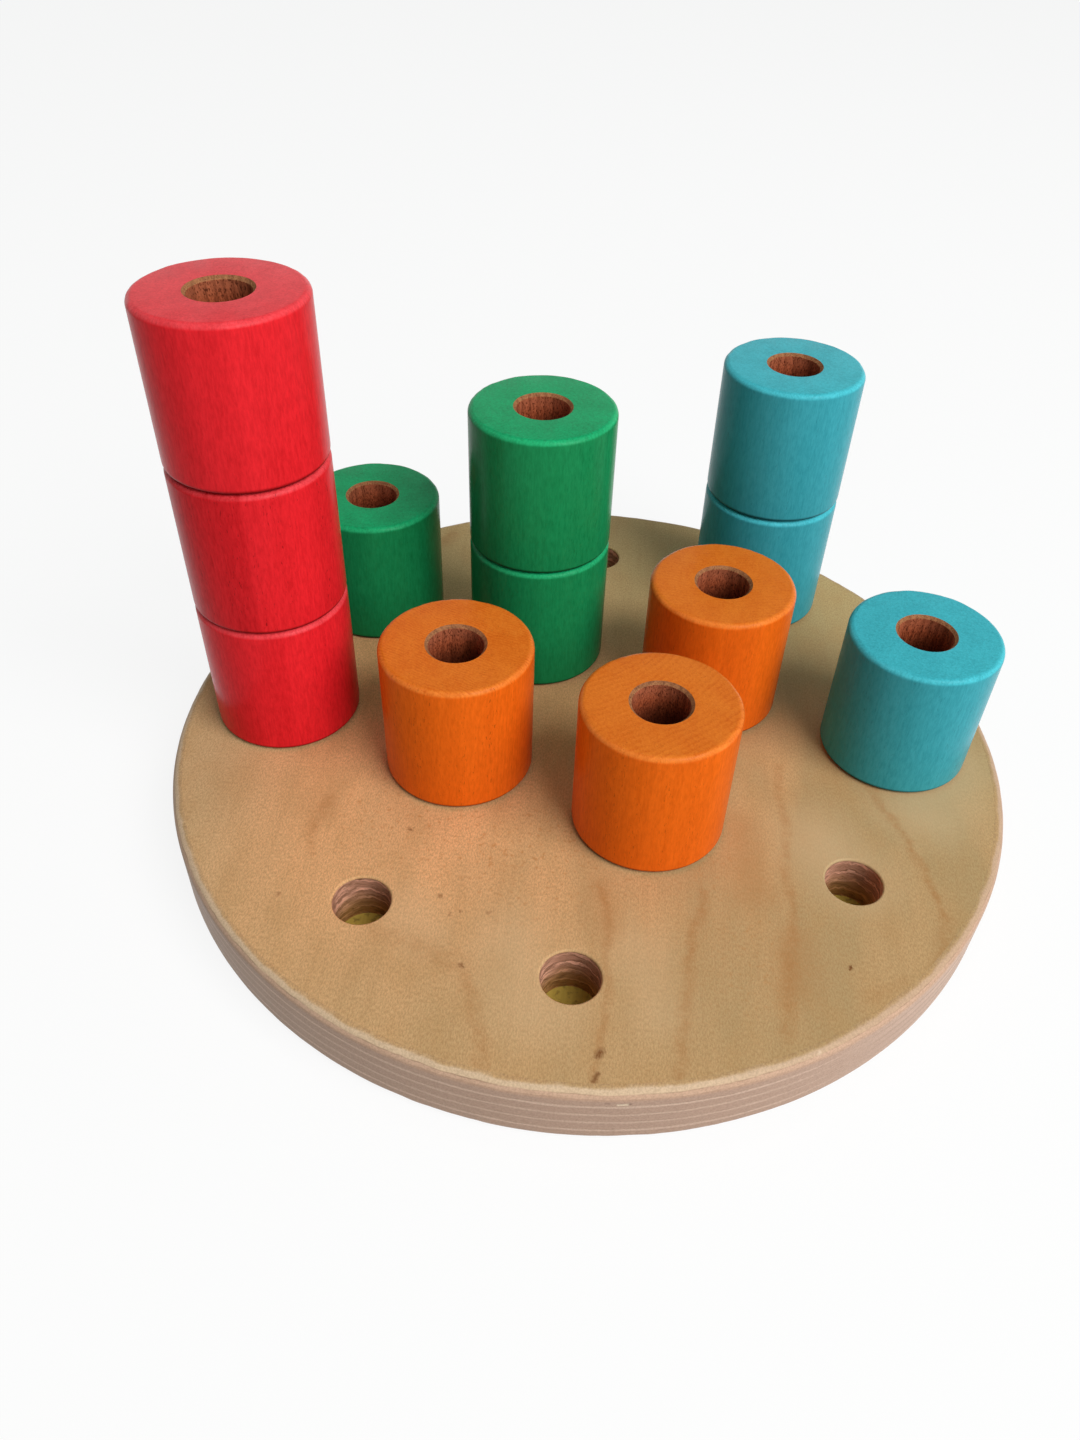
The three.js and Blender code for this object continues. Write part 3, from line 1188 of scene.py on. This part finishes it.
# %% Make the rim
def ply_edge():
    finish, shader = new_finish("ply edge", roughness=0.45, gloss=0.10)
    place = board_millimetres()
    axes = split(place)
    found = patterns(place, RIM_PATTERNS)
    border = plus(axes["Z"], ramp(found["worn"], -BORDER_WAVER, BORDER_WAVER))
    wood, streaky, broken = layers(place, border, RIM_LONG_GRAIN, RIM_END_GRAIN, RIM_GLUE)
    # Worn cream veneer and painted highlight: brighter on the left, duller on the right.
    cream = blended(between(axes["X"], *CREAM_HIGHLIGHT_FADES), CREAM_HIGHLIGHT_LEFT, CREAM_HIGHLIGHT_RIGHT)
    sanded_line = between(apart(border, TOP_GLUE), *SANDED_LINE)
    face, _ = veneer_wood(vector_calc("MULTIPLY", place, (1, 1, 0)))
    wood = layered(
        wood,
        (between(border, *WARM_BAND), WARM_PLY),
        (between(border, *CREAM_HIGHLIGHT_BAND), cream),
        (times(sanded_line, broken), RIM_GLUE),
        (between(border, *FACE_BAND), face),
        (streaks(place, PALE_CHIPS), PALE_CHIP),
        (streaks(place, DARK_CHIPS), DARK_CHIP),
        (ramp(found["grit"], 0.0, GRIT_SHARE), RIM_GLUE),
    )
    covered(shader, wood, plus(found["grit"][0], streaky), strength=0.5, depth=0.15 * MM)
    return finish


PLY_EDGE = ply_edge()
print(f"The rim has {len(PLY_EDGE.node_tree.nodes)} nodes")

# %% Make the holes' walls
TORN = ((0.35, 0.35, 0.5), 3.0, 0.5, 0.0, 1.0)
TEAR = 1.2
# Deeper in the hole the plies are painted darker, as painted shade, and yellower.
HOLE_SHADE_BAND = (9.0, 19.0, 1.0, 0.0)
SHREDS = ((0.16, 0.16, 1.5), 4.0, 0.7, 0.42, 0.66)
SHRED_SHARE = 0.6
BORED_LONG_GRAIN = rgb(0.92, 0.48, 0.33)
SHADED_DEEP_LONG_GRAIN = rgb(0.72, 0.38, 0.16)
BORED_END_GRAIN = rgb(0.47, 0.235, 0.15)
SHADED_DEEP_END_GRAIN = rgb(0.36, 0.18, 0.055)
BORED_GLUE = rgb(0.085, 0.04, 0.01)


def bored_plies():
    finish, shader = new_finish("bored plies", roughness=0.8, gloss=0.05)
    place = board_millimetres()
    axes = split(place)
    height = plus(axes["Z"], ramp(pattern(place, *TORN), -TEAR, TEAR))
    # Painted shade: the plies darken deeper down in the hole.
    deep = between(height, *HOLE_SHADE_BAND)
    long_grain = blended(deep, BORED_LONG_GRAIN, SHADED_DEEP_LONG_GRAIN)
    end_grain = blended(deep, BORED_END_GRAIN, SHADED_DEEP_END_GRAIN)
    wood, _, _ = layers(place, height, long_grain, end_grain, BORED_GLUE)
    wavering = xyz(X=axes["X"], Y=axes["Y"], Z=height)
    shreds = pattern(wavering, *SHREDS)
    wood = blended(ramp(shreds, 0.0, SHRED_SHARE), wood, BORED_GLUE)
    covered(shader, wood, shreds[0], strength=0.8, depth=0.3 * MM)
    return finish


BORED_PLIES = bored_plies()
print(f"{BORED_PLIES.name}: torn by up to {TEAR} mm")

# %% Make the holes' floors
# The floor colours are partly the wood's own olive tone and partly painted light, raised so the bottom of a
# hole looks lit.
FLOOR_GRAIN_AND_LIGHT = rgb(0.74, 0.57, 0.12)
FLOOR_LINES_AND_LIGHT = rgb(0.52, 0.38, 0.07)
FLOOR_TEARS = rgb(0.14, 0.075, 0.03)
TORN_SHARE = 0.5
HOLE_FLOOR_PATTERNS = {
    "lines": ((0.9, 0.1, 1.0), 3.0, 0.5, 0.0, 1.0),
    "torn": ((0.5, 0.5, 1.0), 3.0, 0.5, 0.5, 0.7),
}


def bored_floor():
    finish, shader = new_finish("bored floor", roughness=0.8, gloss=0.1)
    found = patterns(board_millimetres(), HOLE_FLOOR_PATTERNS)
    lines = found["lines"][0]
    wood = layered(
        FLOOR_GRAIN_AND_LIGHT,
        (lines, FLOOR_LINES_AND_LIGHT),
        (ramp(found["torn"], 0.0, TORN_SHARE), FLOOR_TEARS),
    )
    covered(shader, wood, lines, strength=0.5, depth=0.2 * MM)
    return finish


BORED_FLOOR = bored_floor()
print(f"{BORED_FLOOR.name}: {HOLE_DEPTH / MM:.0f} mm down")

# %% [markdown]
# ## Making the board
# One run of the board's tree makes it whole, and it takes the place of the frame's board.

# %% Make the board
BOARD_SIDES = 512
HOLE_SIDES = 96
CUBIC_CENTIMETRE = 1e-6

board = grow("pegboard", BOARD, {
    "Radius": BOARD_RADIUS,
    "Thickness": BOARD_THICKNESS,
    "Edge Rounding": BOARD_EDGE_RADIUS,
    "Hole Radius": HOLE_RADIUS,
    "Hole Depth": HOLE_DEPTH,
    "Hole Ease": HOLE_EASE,
    "Hole Pitch": HOLE_PITCH,
    "Holes Per Side": HOLES_PER_SIDE,
    "Keep Within": BOARD_RADIUS - PEG_RADIUS,
    "Sides": BOARD_SIDES,
    "Hole Sides": HOLE_SIDES,
    "Veneer": VENEER,
    "Ply Edge": PLY_EDGE,
    "Bored Plies": BORED_PLIES,
    "Bored Floor": BORED_FLOOR,
})
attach(board, "board")
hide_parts("board")
print(f"Board: {len(board.data.polygons)} faces, {signed_volume(board.data) / CUBIC_CENTIMETRE:.1f} cm3")

# %% [markdown]
# ## Making the pegs
# Each peg gets a block and a dowel at the place that the frame gives. The way each blank lay in its plank
# is listed. The first three numbers are the turn of the rings in degrees, the distance of the
# tree's heart in millimetres, and the lean of the grain in degrees. The other three are the reach of the
# heartwood and the width of a ring, both in millimetres, and how strongly the grain shows.

# %% How the blanks were cut
BLANKS = {
    "red_peg_1": (20, 70, 1, 0, 3.0, 0.25),
    "red_peg_2": (-39, 62, 1, 62, 2.4, 0.8),
    "red_peg_3": (-22, 90, -1, 0, 7.0, 0.15),
    "green_peg_1": (75, 60, 1, 0, 2.5, 1.0),
    "green_peg_2": (10, 80, -1, 0, 2.5, 1.0),
    "green_peg_3": (130, 60, 1, 0, 2.5, 1.0),
    "orange_peg_1": (96, 110, 3, 0, 1.1, 0.9),
    "orange_peg_2": (32, 90, -1, 0, 2.1, 0.7),
    "orange_peg_3": (70, 75, 1, 0, 1.5, 0.5),
    "turquoise_peg_1": (40, 90, 1, 0, 2.5, 1.0),
    "turquoise_peg_2": (115, 75, -1, 0, 2.5, 1.0),
    "turquoise_peg_3": (0, 100, 1, 0, 2.5, 1.0),
}
PEG_SIDES = 192
DOWEL_SIDES = 64
PLANK_STEP = 90.0

# %% Give a peg its grain and its place
def grain_of(name, number):
    turn, heart_distance, lean, heartwood, ring_width, show = BLANKS[name]
    return {
        "Grain Turn": math.radians(turn),
        "Grain Lean": math.radians(lean),
        "Heart Distance": float(heart_distance),
        "Along The Plank": number * PLANK_STEP,
        "Heartwood": float(heartwood),
        "Ring Width": ring_width,
        "Grain Show": show,
    }


def foot_of(name):
    low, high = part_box(f"{name}_block")
    return ((low.x + high.x) / 2, (low.y + high.y) / 2, low.z)


# %% Make a block and a dowel
def make_block(name, paint, grain, foot):
    return grow(f"{name}_turned_block", BLOCK, {
        "Radius": PEG_RADIUS,
        "Height": PEG_HEIGHT,
        "Foot Rounding": PEG_FOOT_RADIUS,
        "Rim Rounding": PEG_RIM_RADIUS,
        "Socket Radius": HOLE_RADIUS,
        "Socket Depth": HOLE_DEPTH,
        "Socket Chamfer": SOCKET_CHAMFER,
        "Seat Radius": DOWEL_RADIUS + GLUE_GAP,
        "Seat Depth": DOWEL_SEAT + GLUE_GAP,
        "Sides": PEG_SIDES,
        **grain,
        "Place": foot,
        "Paint": paint,
        "Bare Wood": BORED_BEECH,
        "Worn Chamfer": WORN_CHAMFER,
    })


def make_dowel(name, grain, foot):
    return grow(f"{name}_turned_dowel", DOWEL, {
        "Radius": DOWEL_RADIUS,
        "Reach": DOWEL_REACH,
        "Seat Depth": DOWEL_SEAT,
        "Chamfer": DOWEL_CHAMFER,
        "Sides": DOWEL_SIDES,
        **grain,
        "Place": foot,
        "Bare Wood": DOWEL_BEECH,
    })


# %% Make the pegs
for number, name in enumerate(BLANKS):
    colour = name.split("_")[0]
    grain = grain_of(name, number)
    foot = foot_of(name)
    block = make_block(name, PAINTS[colour], grain, foot)
    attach(block, name)
    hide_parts(f"{name}_block")
    dowel = make_dowel(name, grain, foot)
    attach(dowel, name)
    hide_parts(f"{name}_dowel")
    volumes = [signed_volume(piece.data) / CUBIC_CENTIMETRE for piece in (block, dowel)]
    print(f"{name}: block {volumes[0]:.1f} cm3, dowel {volumes[1]:.1f} cm3")

# %% [markdown]
# ## Floor and light
# The toy stood in a pale room with one large soft light on its right. A large square lamp makes that
# light, a small one high behind gives the rims their highlights, and the world fills the shadows with a
# slightly cool tone. An image of a room could light it too, but two lamps are easier to follow. The floor
# and the backdrop are white to the camera and in reflections only, so that they add no light of their own,
# and the floor keeps the board's faint shadow.

# %% Make the floor
FLOOR_RADIUS = 4.0
FLOOR_DROP = 0.1 * MM
FLOOR_SIDES = 64
FLOOR_PAINT = rgb(0.71, 0.71, 0.70)
FLOOR_SEEN = rgb(0.96, 0.96, 0.96)
FLOOR_GLOW = 0.87
WHITE = rgb(1, 1, 1)


def light_path_white():
    path = add("ShaderNodeLightPath").outputs
    seen = calc("MAXIMUM", path["Is Camera Ray"], path["Is Glossy Ray"])
    return calc("MAXIMUM", seen, path["Is Transmission Ray"])


def pale_floor():
    finish, shader = new_finish("pale floor", roughness=0.9, gloss=0.0)
    white = light_path_white()
    feed(shader.inputs["Base Color"], blended(white, FLOOR_PAINT, FLOOR_SEEN))
    glow = made("ShaderNodeEmission", {"Color": WHITE, "Strength": 1.0})
    share = times(white, FLOOR_GLOW)
    mixed = made("ShaderNodeMixShader", {0: share, 1: shader.outputs[0], 2: glow})
    feed(finish.node_tree.nodes["Material Output"].inputs["Surface"], mixed)
    return finish


floor_mesh = bpy.data.meshes.new("floor")
turns = [2 * math.pi * side / FLOOR_SIDES for side in range(FLOOR_SIDES)]
corners = [(FLOOR_RADIUS * math.cos(turn), FLOOR_RADIUS * math.sin(turn), -FLOOR_DROP) for turn in turns]
floor_mesh.from_pydata(corners, [], [range(FLOOR_SIDES)])
floor_mesh.materials.append(pale_floor())
floor = bpy.data.objects.new("floor", floor_mesh)
bpy.context.scene.collection.objects.link(floor)
print(f"Floor {2 * FLOOR_RADIUS:.0f} m wide")

# %% Light the room
AMBIENT = 0.19
AMBIENT_TINT = rgb(0.86, 1.0, 0.92)
world = bpy.data.worlds.new("pale room")
bpy.context.scene.world = world
world.use_nodes = True
room = on_bench(world.node_tree)
ambient = room.nodes["Background"]
ambient.inputs["Color"].default_value = AMBIENT_TINT
ambient.inputs["Strength"].default_value = AMBIENT
backdrop = made("ShaderNodeBackground", {"Color": WHITE, "Strength": 1.0})
shown = made("ShaderNodeMixShader", {0: light_path_white(), 1: ambient.outputs[0], 2: backdrop})
feed(room.nodes["World Output"].inputs["Surface"], shown)
print(f"The room's own light is {AMBIENT} of full white")


# %% Hang the lamps
def soft_lamp(name, azimuth, elevation, distance, size, power):
    lamp = bpy.data.lights.new(name, "AREA")
    lamp.shape = "SQUARE"
    lamp.size = size
    lamp.energy = power
    holder = bpy.data.objects.new(name, lamp)
    turn, rise = math.radians(azimuth), math.radians(elevation)
    toward = Vector((
        math.sin(turn) * math.cos(rise),
        -math.cos(turn) * math.cos(rise),
        math.sin(rise),
    ))
    holder.location = toward * distance
    holder.rotation_euler = toward.to_track_quat("Z", "Y").to_euler()
    holder.visible_camera = False
    bpy.context.scene.collection.objects.link(holder)


soft_lamp("key", azimuth=66, elevation=44, distance=2.2, size=1.4, power=46.8)
soft_lamp("overhead", azimuth=198, elevation=80, distance=1.6, size=0.25, power=1.2)
print("Lamps:", ", ".join(lamp.name for lamp in bpy.data.lights))

# %% [markdown]
# ## Camera
# The photograph was taken with a phone held above the front right edge of the board, tilted down. Its
# place and its lens were worked out from the outlines of the pegs and the rims of the holes.

# %% Make the camera
CAMERA_PLACE = (0.090546, -0.275580, 0.287568)
CAMERA_TILT = math.radians(47.779)
CAMERA_LEAN = math.radians(-1.362)
CAMERA_TURN = math.radians(22.796)
LENS = 27.118
SENSOR_WIDTH = 36.0
camera_data = bpy.data.cameras.new("camera")
camera_data.lens = LENS
camera_data.sensor_width = SENSOR_WIDTH
camera = bpy.data.objects.new("camera", camera_data)
camera.location = CAMERA_PLACE
camera.rotation_euler = (CAMERA_TILT, CAMERA_LEAN, CAMERA_TURN)
bpy.context.scene.collection.objects.link(camera)
bpy.context.scene.camera = camera
bpy.context.scene.view_settings.view_transform = "Standard"
print(f"Camera {camera.location.z:.3f} m above the floor, with a lens of {LENS:.1f} mm")
